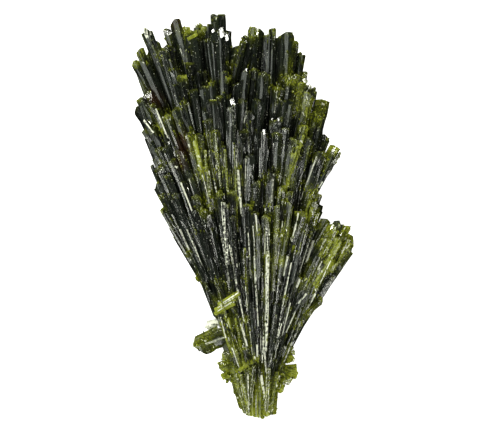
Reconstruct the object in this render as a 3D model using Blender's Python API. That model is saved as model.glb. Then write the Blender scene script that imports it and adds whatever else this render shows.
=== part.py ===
"""Epidote crystal cluster: a fan of striated prisms grown from one narrow stem, lying on its back.

The fan's tips point along +Y, its front faces +Z and its back rests on the floor at Z = 0.
Crystals that touch are grown together, so the whole spray is one solid.
"""

import math
import random

import bmesh
import bpy
from mathutils import Matrix, Vector

MM = 0.001  # the rows below are in millimetres, the model in metres

# Driving dimensions, mm. X and Y are measured from the middle of the spray.
ROOT = Vector((3.5, -39.2, 4.1))  # the point in the stem that the crystals radiate from
FOOT_SHARE = 0.62  # a crystal's width at its foot, as a share of its width at the tip
FLATNESS = (0.74, 0.98)  # least and most thickness of a crystal, as a share of its width
CHISEL = (18, 48)  # how far the planes of a chisel-shaped end slope, in degrees
BLUNT = (4, 20)  # and those of a blunt end
END_TILT = 0.2  # most that the planes of an end lean to the front or the back
RIDGE_SHIFT = 0.3  # most that the ridge of an end lies off the middle, as a share of the width
FAN_ROLL = 40  # most that a crystal of the fan is turned about its own axis, in degrees
SIDES = 6
SEED = 11

# Rows of crystals: tip x, tip y, lean from +Y towards +X in degrees, length, width, tip height.
LEFT_LOBE_BACK = (
    (-21.6, 31.5, -29, 24, 2.3, 7.0),
    (-20.2, 29.8, -27, 30, 2.4, 5.6),
    (-18.4, 33.6, -22, 34, 2.4, 5.4),
    (-20.8, 33.6, -24, 34, 1.5, 8.5),
    (-19.4, 37.2, -21, 34, 1.9, 7.5),
    (-17.8, 35.6, -22, 34, 1.6, 8.8),
    (-15.6, 34.6, -17, 34, 2.0, 6.5),
    (-16.0, 33.2, -16, 34, 1.7, 10.5),
    (-15.3, 38.0, -15, 34, 1.6, 6.0),
    (-13.7, 39.6, -14, 34, 2.2, 7.5),
    (-11.6, 38.3, -12, 34, 1.5, 6.5),
    (-10.4, 37.2, -9, 34, 2.6, 10.5),
    (-9.0, 38.5, -8, 34, 1.6, 7.0),
    (-7.6, 38.3, -5, 34, 1.7, 7.5),
    (-6.5, 38.6, -4, 34, 1.4, 8.5),
    (-5.8, 40.6, -3, 34, 1.4, 8.6),
    (-4.3, 40.6, -2, 34, 1.4, 8.4),
    (-3.2, 37.5, -1, 34, 1.4, 7.0),
    (-5.6, 37.0, -4, 34, 1.9, 12.0),
    (-4.0, 36.8, -2, 34, 1.8, 12.2),
)
LEFT_LOBE_FRONT = (
    (-14.0, 29.4, -15, 34, 1.5, 12.5),
    (-12.2, 28.0, -11, 34, 1.9, 14.2),
    (-13.3, 26.2, -16, 34, 1.4, 14.8),
    (-10.6, 30.8, -10, 34, 1.7, 11.5),
    (-9.0, 28.8, -8, 34, 1.6, 13.4),
    (-9.8, 25.2, -9, 34, 1.6, 15.2),
    (-7.6, 25.8, -6, 34, 1.8, 15.0),
    (-6.2, 26.6, -4, 34, 1.6, 15.8),
    (-5.6, 23.2, -4, 34, 1.9, 16.8),
    (-3.8, 28.8, -2.5, 34, 1.7, 15.8),
    (-1.9, 22.5, 0.5, 34, 1.7, 19.6),
    (-2.6, 30.8, -1, 34, 1.6, 9.5),
    (-11.7, 23.0, -14, 34, 1.8, 16.0),
    (-13.4, 21.6, -18, 34, 1.5, 13.8),
    (-15.1, 20.2, -20, 34, 1.5, 14.0),
    (-10.6, 16.8, -13, 34, 1.8, 16.2),
    (-8.9, 16.4, -10, 34, 2.0, 17.0),
    (-6.9, 19.2, -7, 34, 1.6, 17.4),
    (-5.3, 17.2, -5, 34, 1.4, 18.0),
)
LEFT_FLANK = (
    (-19.4, 25.0, -27, 30, 1.9, 9.0),
    (-20.8, 23.8, -28, 30, 1.4, 8.5),
    (-21.5, 22.0, -29, 30, 1.4, 8.0),
    (-18.2, 22.4, -27, 30, 1.7, 11.5),
    (-19.8, 17.8, -31, 24, 1.5, 7.8),
    (-17.2, 21.4, -24, 32, 1.5, 13.0),
    (-18.6, 15.2, -30, 24, 1.9, 8.5),
    (-17.0, 13.8, -27, 26, 1.5, 10.8),
    (-17.5, 11.8, -24, 26, 1.6, 8.2),
    (-16.8, 10.4, -22, 28, 2.0, 9.6),
    (-17.3, 7.0, -29, 22, 1.8, 8.0),
    (-16.2, 4.6, -29, 24, 1.6, 9.2),
    (-16.0, 2.0, -30, 28, 1.4, 7.8),
    (-14.4, 17.0, -22, 30, 1.5, 12.6),
    (-15.4, 14.0, -24, 28, 1.5, 12.2),
    (-14.2, 11.4, -23, 28, 1.5, 13.4),
    (-15.3, 8.4, -25, 26, 1.6, 12.2),
    (-12.5, 13.4, -19, 30, 1.6, 14.4),
    (-13.4, 4.8, -24, 26, 1.6, 13.2),
    (-10.8, 9.0, -17, 30, 1.4, 15.2),
    (-9.4, 4.4, -15, 28, 1.5, 16.2),
)
MIDDLE_FRONT = (
    (-7.6, 10.0, -10, 32, 1.6, 18.0),
    (-6.3, 13.2, -9, 36, 1.4, 18.0),
    (-4.2, 14.0, -5, 36, 1.4, 18.4),
    (-7.9, 1.6, -13, 26, 1.5, 16.6),
    (-6.5, 0.8, -12, 26, 1.7, 16.8),
    (-4.7, 5.2, -7, 30, 1.4, 19.0),
    (-2.2, 5.2, -4, 30, 1.7, 18.2),
    (-2.8, -1.2, -5, 24, 1.6, 17.0),
    (-1.0, 10.0, -2, 34, 1.4, 18.6),
    (0.8, 2.6, -1, 28, 1.5, 18.8),
    (0.2, 17.0, 3, 38, 1.7, 17.8),
    (1.7, 12.2, 3, 34, 1.5, 19.0),
    (2.6, 7.2, 2, 30, 1.5, 19.4),
    (5.4, 9.2, 2, 32, 1.6, 19.0),
    (2.4, 1.0, 1, 26, 1.3, 19.2),
    (4.3, 0.4, 1, 26, 1.4, 18.6),
    (6.6, 2.2, 5, 28, 1.5, 17.6),
    (0.4, -5.8, -1, 22, 1.5, 16.6),
    (4.6, -7.8, 0, 22, 1.4, 16.0),
    (7.9, -2.8, 7, 24, 1.6, 15.6),
)
RIGHT_LOBE_BACK = (
    (-1.0, 34.2, 13, 13, 2.1, 9.0),
    (0.1, 35.0, 10, 30, 1.4, 8.0),
    (0.8, 36.4, 8, 34, 1.6, 7.4),
    (2.1, 38.0, 3, 34, 2.0, 8.6),
    (3.4, 37.8, 2, 34, 1.5, 7.0),
    (4.8, 36.6, 2, 34, 1.7, 6.6),
    (5.9, 37.8, 1, 34, 1.4, 7.6),
    (8.8, 36.9, 2, 34, 2.4, 9.6),
    (10.4, 35.3, 6, 34, 1.5, 8.0),
    (11.2, 33.2, 7, 34, 1.4, 6.8),
    (11.8, 32.5, 8, 34, 1.4, 8.2),
    (12.2, 29.2, 9, 34, 1.4, 8.0),
    (13.0, 26.4, 10, 34, 1.4, 7.4),
    (14.0, 26.0, 11, 34, 1.4, 9.2),
    (15.9, 23.6, 11, 34, 2.5, 7.6),
    (14.8, 21.0, 10, 30, 2.2, 9.8),
    (16.1, 16.6, 21, 30, 1.7, 7.0),
    (18.8, 14.0, 30, 27, 2.6, 9.0),
    (16.6, 16.4, 22, 27, 2.0, 8.4),
)
RIGHT_LOBE_FRONT = (
    (15.6, 13.2, 17, 34, 2.5, 11.5),
    (13.2, 15.8, 18, 34, 2.1, 13.0),
    (10.0, 28.4, 9, 34, 2.3, 12.2),
    (11.6, 26.8, 11, 34, 2.0, 11.8),
    (13.0, 24.8, 11, 34, 2.0, 11.4),
    (7.2, 25.6, 7, 34, 1.7, 13.6),
    (4.3, 28.7, 5, 34, 2.1, 13.4),
    (0.6, 29.0, 7, 34, 1.7, 12.8),
    (2.3, 29.6, 6, 34, 1.6, 11.8),
    (-0.8, 26.6, 5, 34, 1.7, 11.8),
    (7.0, 19.6, 3, 34, 1.4, 17.2),
    (8.4, 17.6, 7, 34, 1.4, 16.4),
    (10.0, 15.6, 9, 34, 1.4, 16.0),
    (4.1, 16.8, 1, 34, 1.5, 18.6),
    (6.7, 16.8, 2, 34, 1.9, 17.8),
    (0.1, 23.2, 4, 34, 1.6, 16.6),
    (1.9, 20.8, 5, 34, 1.9, 17.2),
    (3.2, 23.2, 5, 34, 2.1, 15.8),
    (9.0, 23.2, 8, 34, 2.3, 14.0),
    (12.0, 18.2, 13, 34, 1.9, 14.0),
    (10.6, 12.8, 12, 34, 1.8, 15.8),
    (7.8, 6.2, 7, 32, 1.7, 17.6),
    (9.0, 5.2, 11, 30, 1.9, 16.2),
    (13.4, -1.0, 22, 24, 2.8, 12.6),
    (11.6, 1.2, 17, 26, 2.4, 14.6),
    (14.4, 3.2, 20, 26, 2.4, 11.4),
)
LOWER_RIGHT_SPRAY = (
    (21.9, -3.8, 33, 26, 2.4, 7.8),
    (20.8, -1.6, 32, 26, 2.0, 8.6),
    (19.4, -0.8, 31, 27, 2.2, 9.6),
    (17.9, -1.6, 30, 26, 2.0, 10.8),
    (16.7, -0.4, 27, 27, 2.0, 8.4),
    (15.3, 2.0, 24, 28, 2.0, 9.0),
    (14.9, 4.8, 21, 30, 1.7, 7.4),
    (20.8, -6.2, 34, 24, 2.3, 7.6),
    (19.4, -8.8, 34, 21, 2.3, 7.0),
    (17.8, -11.2, 34, 19, 2.3, 6.6),
    (16.2, -13.4, 35, 16, 2.2, 6.4),
    (18.8, -4.0, 31, 24, 2.0, 11.4),
    (16.9, -4.4, 28, 24, 2.0, 12.4),
    (17.4, -8.0, 32, 21, 2.1, 10.8),
    (15.8, -16.4, 50, 12, 1.9, 4.8),
    (13.2, -13.4, 36, 12, 1.7, 10.0),
    (11.3, -18.4, 35, 11, 1.7, 7.0),
)
STEM_FRONT = (
    (-4.4, -18.6, -18, 15, 1.7, 10.4),
    (-3.0, -19.4, -15, 13, 1.5, 11.2),
    (-1.5, -17.8, -11, 14, 1.6, 11.8),
    (0.1, -19.2, -8, 12, 1.6, 11.8),
    (1.8, -18.0, -5, 15, 1.5, 11.6),
    (6.4, -17.0, 5, 20, 1.5, 11.8),
    (8.0, -17.2, 9, 18, 1.5, 11.0),
    (9.3, -17.8, 14, 16, 1.4, 10.0),
)
# Short crystals that cross the others: tip x, y, z, foot x, y, z, width.
CROSSING_FLATNESS = 0.8
CROSSING_ROLL = 17  # degrees
CROSSING = (
    (-9.8, -26.5, 4.2, -0.6, -22.9, 5.0, 4.9),
    (-8.3, -24.2, 5.2, 0.0, -21.4, 5.6, 2.2),
    (-7.4, -21.8, 4.6, -3.6, -21.2, 5.2, 1.8),
    (-4.2, -28.2, 5.6, 0.0, -27.0, 6.0, 2.6),
    (-4.7, -30.6, 4.8, 0.0, -28.4, 5.2, 3.2),
    (-4.2, -32.8, 4.2, 1.0, -30.6, 4.6, 2.8),
    (-1.7, -34.4, 4.4, 2.4, -37.0, 4.6, 2.8),
    (9.5, -25.8, 4.8, 5.6, -27.4, 5.2, 2.6),
    (10.2, -28.0, 4.2, 5.8, -29.0, 4.8, 3.0),
    (11.0, -31.2, 4.6, 5.6, -30.8, 5.0, 3.4),
    (9.8, -33.0, 3.8, 5.6, -32.2, 4.4, 2.6),
    (8.2, -34.8, 4.2, 5.0, -33.4, 4.6, 2.6),
    (-9.4, -12.7, 5.6, -7.0, -10.9, 5.4, 1.5),
    (-5.6, -17.9, 11.4, -0.6, -15.6, 12.4, 1.6),
    (-5.0, -19.0, 11.0, -1.2, -17.2, 11.8, 1.4),
    (1.2, -28.8, 9.4, 2.4, -39.4, 6.8, 4.0),
)
# How far the fan reaches from the root along each lean, in degrees from +Y towards +X.
REACH = (
    (-25, 40),
    (-24, 50),
    (-22.5, 56),
    (-21, 72),
    (-18, 77),
    (-14, 77),
    (-10, 77),
    (-6, 77),
    (-4.6, 72),
    (-3, 74),
    (0, 76),
    (4, 74),
    (7, 71),
    (10, 65),
    (13, 56),
    (15, 46),
    (18, 39),
    (21, 38),
    (26, 36),
    (28, 27),
    (30, 18),
)
# Wide crystals behind the others. Inset is how far their tips, at height, stay inside REACH.
# Foot is the height at which they start, LAYER_START from the root.
LAYER_START = 6.0
LAYER_FLATNESS = 0.85
LAYER_ROLL = 28  # degrees
LAYERS = (
    dict(leans=(-22.4, 22), count=14, inset=(1.5, 3.5), width=(3.2, 3.9), foot=1.6, height=(1.0, 1.5)),
    dict(leans=(-21.5, 16), count=10, inset=(3, 8), width=(3.2, 4.0), foot=3.1, height=(4.0, 5.2)),
    dict(leans=(-20, 13), count=8, inset=(10, 15), width=(3.4, 4.2), foot=4.6, height=(8.0, 9.4)),
)
# Feet in the stem stand in a ring of this radius, which spreads by the time they reach the fan.
STEM = dict(count=9, radius=3.05, spread=1.6, reach=20.0, width=2.4, jag=(0.4, 1.4))
HEART_START = 2.0
# Thick crystals inside the fan, which the others grow against: lean, reach, width, thickness, height.
HEART = (
    (-19, 47, 8.0, 6.0, 6.8),
    (-11, 58, 9.0, 9.0, 8.6),
    (-3, 58, 9.0, 10.0, 9.6),
    (5, 54, 8.5, 9.5, 9.2),
    (12, 38, 7.0, 7.0, 8.0),
    (22, 26, 6.0, 5.0, 5.4),
)


def heading(lean, rise):
    """The direction of a crystal that leans from +Y and rises from the floor, both in radians."""
    flat = Vector((math.sin(lean), math.cos(lean), 0.0))
    return flat * math.cos(rise) + Vector((0.0, 0.0, math.sin(rise)))


def cut(mesh, point, normal):
    """Removes what lies beyond a plane and closes the cut with one face."""
    whole = mesh.verts[:] + mesh.edges[:] + mesh.faces[:]
    found = bmesh.ops.bisect_plane(
        mesh, geom=whole, plane_co=point, plane_no=normal, clear_outer=True, dist=1e-7
    )
    rim = [e for e in found["geom_cut"] if isinstance(e, bmesh.types.BMEdge)]
    bmesh.ops.holes_fill(mesh, edges=rim, sides=0)


def prism(name, tip, foot, width, thickness, roll, chances, slopes=CHISEL):
    """One crystal: a tapered prism along the line from foot to tip, with an end cut by two planes."""
    axis = tip - foot
    mesh = bmesh.new()
    bmesh.ops.create_cone(
        mesh,
        cap_ends=True,
        segments=SIDES,
        radius1=FOOT_SHARE * width / 2,
        radius2=width / 2,
        depth=axis.length,
        matrix=Matrix.Translation((0, 0, -axis.length / 2)),
    )
    bmesh.ops.scale(mesh, vec=(1.0, thickness / width, 1.0), verts=mesh.verts)
    ridge = chances.uniform(-RIDGE_SHIFT, RIDGE_SHIFT) * width
    for side in (-1, 1):
        slope = math.radians(chances.uniform(*slopes))
        tilt = chances.uniform(-END_TILT, END_TILT)
        normal = Vector((side * math.sin(slope), tilt, math.cos(slope)))
        cut(mesh, Vector((ridge, 0, 0)), normal)
    turn = axis.to_track_quat("Z", "Y").to_matrix().to_4x4()
    place = Matrix.Translation(tip) @ turn @ Matrix.Rotation(roll, 4, "Z")
    bmesh.ops.transform(mesh, matrix=Matrix.Scale(MM, 4) @ place, verts=mesh.verts)
    bmesh.ops.recalc_face_normals(mesh, faces=mesh.faces)
    data = bpy.data.meshes.new(name)
    mesh.to_mesh(data)
    mesh.free()
    return bpy.data.objects.new(name, data)


def fan_crystal(name, row, chances):
    """A crystal of one of the fan's rows. It points away from the root, so high tips rise steeply."""
    x, y, lean, length, width, height = row
    tip = Vector((x, y, height))
    run = math.hypot(x - ROOT.x, y - ROOT.y)
    axis = heading(math.radians(lean), math.atan2(height - ROOT.z, run))
    roll = math.radians(chances.uniform(-FAN_ROLL, FAN_ROLL))
    thickness = width * chances.uniform(*FLATNESS)
    return prism(name, tip, tip - axis * length, width, thickness, roll, chances)


def fan_crystals(chances):
    rows = (
        LEFT_LOBE_BACK
        + LEFT_LOBE_FRONT
        + LEFT_FLANK
        + MIDDLE_FRONT
        + RIGHT_LOBE_BACK
        + RIGHT_LOBE_FRONT
        + LOWER_RIGHT_SPRAY
        + STEM_FRONT
    )
    return [fan_crystal(f"fan_{n:03d}", row, chances) for n, row in enumerate(rows)]


def crossing_crystals(chances):
    made = []
    for n, (*ends, width) in enumerate(CROSSING):
        tip = Vector(ends[:3])
        foot = Vector(ends[3:])
        thickness = width * CROSSING_FLATNESS
        roll = math.radians(CROSSING_ROLL)
        made.append(prism(f"crossing_{n}", tip, foot, width, thickness, roll, chances, BLUNT))
    return made


def reach_at(lean):
    """How far the fan reaches along a lean, read between the points of REACH."""
    for (low, near), (high, far) in zip(REACH, REACH[1:]):
        if lean <= high:
            return near + (far - near) * (lean - low) / (high - low)
    return REACH[-1][1]


def layer_crystals(chances):
    """The crystals behind those of the rows. The cluster lies on the lowest layer."""
    made = []
    for level, layer in enumerate(LAYERS):
        low, high = layer["leans"]
        for n in range(layer["count"]):
            lean = low + (high - low) * n / (layer["count"] - 1)
            flat = heading(math.radians(lean), 0.0)
            tip = ROOT + flat * (reach_at(lean) - chances.uniform(*layer["inset"]))
            tip.z = chances.uniform(*layer["height"])
            foot = ROOT + flat * LAYER_START
            foot.z = layer["foot"]
            width = chances.uniform(*layer["width"])
            roll = math.radians(chances.uniform(-LAYER_ROLL, LAYER_ROLL))
            thickness = width * LAYER_FLATNESS
            made.append(prism(f"layer_{level}_{n}", tip, foot, width, thickness, roll, chances))
    return made


def stem_crystals(chances):
    """The bundle of feet in the stem, which ends in the break where the spray came off its rock."""
    made = []
    for n in range(STEM["count"]):
        turn = math.tau * n / STEM["count"]
        offset = Vector((math.cos(turn), 0, math.sin(turn))) * STEM["radius"]
        start = ROOT + offset - Vector((0, chances.uniform(*STEM["jag"]), 0))
        end = ROOT + Vector((offset.x * STEM["spread"], STEM["reach"], offset.z))
        width = STEM["width"]
        roll = chances.uniform(0, math.tau / SIDES)
        made.append(prism(f"stem_{n}", start, end, width, width, roll, chances))
    return made


def heart_crystals(chances):
    """The thick crystals inside the fan."""
    made = []
    for n, (lean, reach, width, thickness, height) in enumerate(HEART):
        flat = heading(math.radians(lean), 0.0)
        tip = ROOT + flat * reach
        tip.z = height
        foot = ROOT + flat * HEART_START
        made.append(prism(f"heart_{n}", tip, foot, width, thickness, 0.0, chances))
    return made


def grown_together(name, crystals):
    """Joins crystals that touch into one solid."""
    first = crystals[0]
    others = bpy.data.collections.new("grown_crystals")
    bpy.context.scene.collection.children.link(others)
    others.hide_render = True
    for crystal in crystals[1:]:
        others.objects.link(crystal)
        crystal.hide_render = True
        crystal.display_type = "WIRE"
    bpy.context.scene.collection.objects.link(first)
    join = first.modifiers.new("grow_together", "BOOLEAN")
    join.operation = "UNION"
    join.operand_type = "COLLECTION"
    join.collection = others
    join.solver = "EXACT"
    bpy.context.view_layer.update()
    graph = bpy.context.evaluated_depsgraph_get()
    data = bpy.data.meshes.new_from_object(first.evaluated_get(graph))
    for crystal in crystals:
        bpy.data.objects.remove(crystal)
    bpy.data.collections.remove(others)
    data.name = name
    return bpy.data.objects.new(name, data)


def islands(mesh):
    """The mesh's connected groups of faces."""
    found = []
    left = set(mesh.faces)
    while left:
        start = left.pop()
        group = {start}
        rim = [start]
        while rim:
            face = rim.pop()
            near = {f for e in face.edges for f in e.link_faces} & left
            left -= near
            group |= near
            rim.extend(near)
        found.append(group)
    return found


def fill_sealed_gaps(mesh):
    """Makes the gaps that crystals close off solid: only the outer skin stays."""
    groups = sorted(islands(mesh), key=lambda group: sum(f.calc_area() for f in group))
    inner = [f for group in groups[:-1] for f in group]
    bmesh.ops.delete(mesh, geom=inner, context="FACES")


def epidote():
    """Very dark green glossy crystal."""
    material = bpy.data.materials.new("epidote")
    material.use_nodes = True
    shader = material.node_tree.nodes["Principled BSDF"]
    shader.inputs["Base Color"].default_value = (0.035, 0.05, 0.025, 1)
    shader.inputs["Roughness"].default_value = 0.25
    shader.inputs["Metallic"].default_value = 0.0
    shader.inputs["IOR"].default_value = 1.75
    return material


def finish(cluster):
    """Closes the solid's skin and gives it the small flats at Z = 0 that it rests on."""
    mesh = bmesh.new()
    mesh.from_mesh(cluster.data)
    fill_sealed_gaps(mesh)
    cut(mesh, Vector((0, 0, 0)), Vector((0, 0, -1)))
    mesh.to_mesh(cluster.data)
    mesh.free()
    cluster.data.materials.clear()
    cluster.data.materials.append(epidote())


def main():
    for thing in list(bpy.data.objects):
        bpy.data.objects.remove(thing)
    chances = random.Random(SEED)
    crystals = (
        heart_crystals(chances)
        + stem_crystals(chances)
        + layer_crystals(chances)
        + fan_crystals(chances)
        + crossing_crystals(chances)
    )
    cluster = grown_together("epidote_cluster", crystals)
    finish(cluster)
    parts = bpy.data.collections.new("epidote_crystal_cluster")
    bpy.context.scene.collection.children.link(parts)
    parts.objects.link(cluster)


main()
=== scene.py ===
"""The looks of an epidote crystal cluster: a fan of striated dark green prisms lying on its back.

Rows of crystals are in millimetres from the middle of the fan, as in the CAD. Every crystal is a
grooved shaft with laths grown along it; small crystals and green druse sit on their surface.
"""

import math
import random

import bmesh
import bpy
from mathutils import Matrix, Vector, noise
from mathutils.bvhtree import BVHTree


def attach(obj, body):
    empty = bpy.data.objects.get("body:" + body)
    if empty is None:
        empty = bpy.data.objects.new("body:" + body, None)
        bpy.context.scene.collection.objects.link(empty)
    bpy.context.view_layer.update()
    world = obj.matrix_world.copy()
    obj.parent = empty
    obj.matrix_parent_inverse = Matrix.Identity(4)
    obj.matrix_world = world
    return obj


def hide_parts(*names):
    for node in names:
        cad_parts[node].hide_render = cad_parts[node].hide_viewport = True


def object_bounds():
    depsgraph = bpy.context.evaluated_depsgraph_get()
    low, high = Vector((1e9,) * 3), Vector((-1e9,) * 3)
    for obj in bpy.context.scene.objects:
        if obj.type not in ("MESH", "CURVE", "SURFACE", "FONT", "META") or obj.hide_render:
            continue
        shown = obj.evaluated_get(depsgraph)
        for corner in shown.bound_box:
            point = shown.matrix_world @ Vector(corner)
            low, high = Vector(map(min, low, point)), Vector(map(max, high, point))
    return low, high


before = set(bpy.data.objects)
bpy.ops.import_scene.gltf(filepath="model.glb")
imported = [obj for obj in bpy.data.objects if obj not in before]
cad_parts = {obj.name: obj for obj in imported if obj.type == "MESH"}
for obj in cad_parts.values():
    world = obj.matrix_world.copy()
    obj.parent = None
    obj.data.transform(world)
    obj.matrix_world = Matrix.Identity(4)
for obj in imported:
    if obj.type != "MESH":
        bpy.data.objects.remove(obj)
CAD_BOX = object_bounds()

MM = 0.001
SEED = 11
UP = Vector((0, 0, 1))

# The photo: its width, its scale, what its middle shows, and the long lens above it.
PHOTO_WIDTH = 501  # pixels
PIXELS_PER_MM = 5.0
PHOTO_MIDDLE = Vector((1.5, 0.2, 8.0))
LENS = 150.0
SENSOR = 36.0
EYE = (PHOTO_MIDDLE + UP * (PHOTO_WIDTH / PIXELS_PER_MM * LENS / SENSOR)) * MM

# The fan.
ROOT = Vector((3.5, -39.2, 4.1))  # the point in the stem that the crystals radiate from
SKIN = 0.03  # how far inside the solid's box the crystals stay
FULLER = 1.35  # how much wider a crystal is here than in the rows, so that its neighbours meet
SHOULDER = 14.0  # tips above this height are drawn in, so that the solid's box doesn't flatten them
DRAWN_IN = 0.55  # how much is left of what rises above it

# One crystal.
FOOT_SHARE = 0.62  # its width at its foot, as a share of its width at the tip
CORNER_SHIFT = 0.3  # how far its grooves move round it, as a share of the space between them
SEAMS = 50  # how far apart, in millimetres, the patterns of two crystals may start
RIDGE = 0.25  # how far the ridge of its cut end lies off its middle, as a share of its width
TWIST = 0.35  # how far an end face turns from its even place, in radians
UNEVEN = 0.18  # how much its sides swell and shrink along it, as a share of its width
SWELLS = 0.6  # how many swellings there are to a millimetre
TIP_GLOWS = (0.3, 0.5, 0.8, 1.2, 2.2)  # how far down from its tip it may be green, partly its own colour and partly a painted glow of light through the thin tip
OWN_GREEN = (0.45, 1.25)  # how much more or less of a zone's green it takes
ZONE_END = 6  # a zone ends where its distance, in radii and squared, is this
THIN = dict(columns=6, ring=2.4)  # a thin crystal's columns of points, and the space between rings
SHORT = dict(columns=6, ring=50)  # the same for one that is too short for rings
PYRAMID = dict(ends=4, slopes=(50, 58))  # the end faces of a pointed crystal, and their slopes

# The shafts, and the laths grown along them.
THICKNESS = (0.74, 0.98)  # a shaft's thickness, as a share of its width
ROLLS = (-40, 40)  # degrees about its own axis
COLUMNS = (8, 10, 12)  # of points, with a groove or a rib at each
FACETED = 0.4  # the share of the shafts with a slanting end face that looks up
FACET_TILT = (62, 74)  # how far that face's normal turns up from the shaft, in degrees
FAN_LATHS = 5  # the most laths on one shaft of the rows
BACK_LATHS = 6  # the most on one of the wide crystals behind
LATH_DROPS = (0.3, 0.8, 1.6, 3.0, 5.0, 8.0)  # how far below the shaft's tip a lath ends
LATH_RUN = (10, 34)
LATH_WIDTH = (0.2, 0.5)  # as a share of the shaft's
LATH_STRAY = 0.012  # how far it strays from the shaft, as a share of its length

# Thin crystals that lie on the others.
SMALL_CRYSTALS = 200
SMALL_LEANS = (-25, 27)  # degrees from +Y towards +X
SMALL_WIDTH = (0.35, 0.9)
SMALL_RUN = (4, 14)
FINE_LATHS = 110
FINE_LEANS = (-24, 27)
FINE_WIDTH = (0.2, 0.5)
FINE_RUN = (4, 12)
FINE_REACH = (14, 46)  # how far from the root their tips are
FINE_PAINTED_SHEEN = (0.0, 0.0, 0.0, 0.0, 0.25, 0.7)  # how whitish they may be, a painted highlight along them
PROBES = 5  # the stretches of a line between the places where what lies under it is found
STEM_REACH = 30.0  # nearer to the root than this, the crystals lie more level than the fan
SLANT = 0.10  # how steeply a thin crystal may cross the others, per millimetre of its length
OVERHANG = 1.5  # a thin crystal ends where it would be higher than this above the others
CROSSING_OVERHANG = 6.0  # the same for those that cross the others and stick out beside them

# The druse.
DRUSE_CRYSTALS = 1500
DRUSE_TRIES = 40  # how many places are tried for each
DRUSE_WIDTH = (0.18, 0.48)
DRUSE_PAINTED_GLINTS = (0.0,) * 14 + (0.9,)  # one crystal in fifteen is painted whitish, a painted glint

# The stem.
RIM_FEET = 24  # crystals round the rim of the stem, with as many inside it
STEM_RADIUS = 3.0
STEM_RUN = 20  # how far they reach up from the root
STEM_WIDTH = (1.1, 1.9)
STEM_GREEN = 0.45

# Rows of crystals: tip x, tip y, lean from +Y towards +X in degrees, length, width, tip height.
LEFT_LOBE_BACK = (
    (-21.6, 31.5, -29, 24, 2.3, 7.0),
    (-20.2, 29.8, -27, 30, 2.4, 5.6),
    (-18.4, 33.6, -22, 34, 2.4, 5.4),
    (-20.8, 33.6, -24, 34, 1.5, 8.5),
    (-19.4, 37.2, -21, 34, 1.9, 7.5),
    (-17.8, 35.6, -22, 34, 1.6, 8.8),
    (-15.6, 34.6, -17, 34, 2.0, 6.5),
    (-16.0, 33.2, -16, 34, 1.7, 10.5),
    (-15.3, 38.0, -15, 34, 1.6, 6.0),
    (-13.7, 39.6, -14, 34, 2.2, 7.5),
    (-11.6, 38.3, -12, 34, 1.5, 6.5),
    (-10.4, 37.2, -9, 34, 2.6, 10.5),
    (-9.0, 38.5, -8, 34, 1.6, 7.0),
    (-7.6, 38.3, -5, 34, 1.7, 7.5),
    (-6.5, 38.6, -4, 34, 1.4, 8.5),
    (-5.8, 40.6, -3, 34, 1.4, 8.6),
    (-4.3, 40.6, -2, 34, 1.4, 8.4),
    (-3.2, 37.5, -1, 34, 1.4, 7.0),
    (-2.8, 35.6, -1, 34, 1.0, 6.0),
    (-5.6, 37.0, -4, 34, 1.9, 12.0),
    (-4.0, 36.8, -2, 34, 1.8, 12.2),
    (-7.1, 35.4, -7, 34, 1.2, 12.2),
)
LEFT_LOBE_FRONT = (
    (-14.0, 29.4, -15, 34, 1.5, 12.5),
    (-12.2, 28.0, -11, 34, 1.9, 14.2),
    (-13.3, 26.2, -16, 34, 1.4, 14.8),
    (-10.6, 30.8, -10, 34, 1.7, 11.5),
    (-9.0, 28.8, -8, 34, 1.6, 13.4),
    (-9.8, 25.2, -9, 34, 1.6, 15.2),
    (-7.6, 25.8, -6, 34, 1.8, 15.0),
    (-6.2, 26.6, -4, 34, 1.6, 15.8),
    (-5.6, 23.2, -4, 34, 1.9, 16.8),
    (-4.4, 23.8, -2, 34, 1.2, 17.4),
    (-3.8, 28.8, -2.5, 34, 1.7, 15.8),
    (-1.9, 22.5, 0.5, 34, 1.7, 19.6),
    (-2.6, 30.8, -1, 34, 1.6, 9.5),
    (-11.7, 23.0, -14, 34, 1.8, 16.0),
    (-13.4, 21.6, -18, 34, 1.5, 13.8),
    (-15.1, 20.2, -20, 34, 1.5, 14.0),
    (-10.6, 16.8, -13, 34, 1.8, 16.2),
    (-8.9, 16.4, -10, 34, 2.0, 17.0),
    (-6.9, 19.2, -7, 34, 1.6, 17.4),
    (-5.3, 17.2, -5, 34, 1.4, 18.0),
)
LEFT_FLANK = (
    (-19.4, 25.0, -27, 30, 1.9, 9.0),
    (-20.8, 23.8, -28, 30, 1.4, 8.5),
    (-21.5, 22.0, -29, 30, 1.4, 8.0),
    (-18.2, 22.4, -27, 30, 1.7, 11.5),
    (-19.8, 17.8, -31, 24, 1.5, 7.8),
    (-17.2, 21.4, -24, 32, 1.5, 13.0),
    (-18.6, 15.2, -30, 24, 1.9, 8.5),
    (-17.0, 13.8, -27, 26, 1.5, 10.8),
    (-17.5, 11.8, -24, 26, 1.6, 8.2),
    (-16.8, 10.4, -22, 28, 2.0, 9.6),
    (-17.3, 7.0, -29, 22, 1.8, 8.0),
    (-16.2, 4.6, -29, 24, 1.6, 9.2),
    (-16.0, 2.0, -30, 28, 1.4, 7.8),
    (-14.4, -1.8, -30, 24, 1.2, 6.5),
    (-11.2, -7.2, -29, 18, 1.1, 6.0),
    (-14.4, 17.0, -22, 30, 1.5, 12.6),
    (-15.4, 14.0, -24, 28, 1.5, 12.2),
    (-14.2, 11.4, -23, 28, 1.5, 13.4),
    (-15.3, 8.4, -25, 26, 1.6, 12.2),
    (-12.5, 13.4, -19, 30, 1.6, 14.4),
    (-13.4, 4.8, -24, 26, 1.6, 13.2),
    (-11.9, 7.0, -18.5, 30, 1.3, 15.4),
    (-10.8, 9.0, -17, 30, 1.4, 15.2),
    (-9.4, 4.4, -15, 28, 1.5, 16.2),
)
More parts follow.
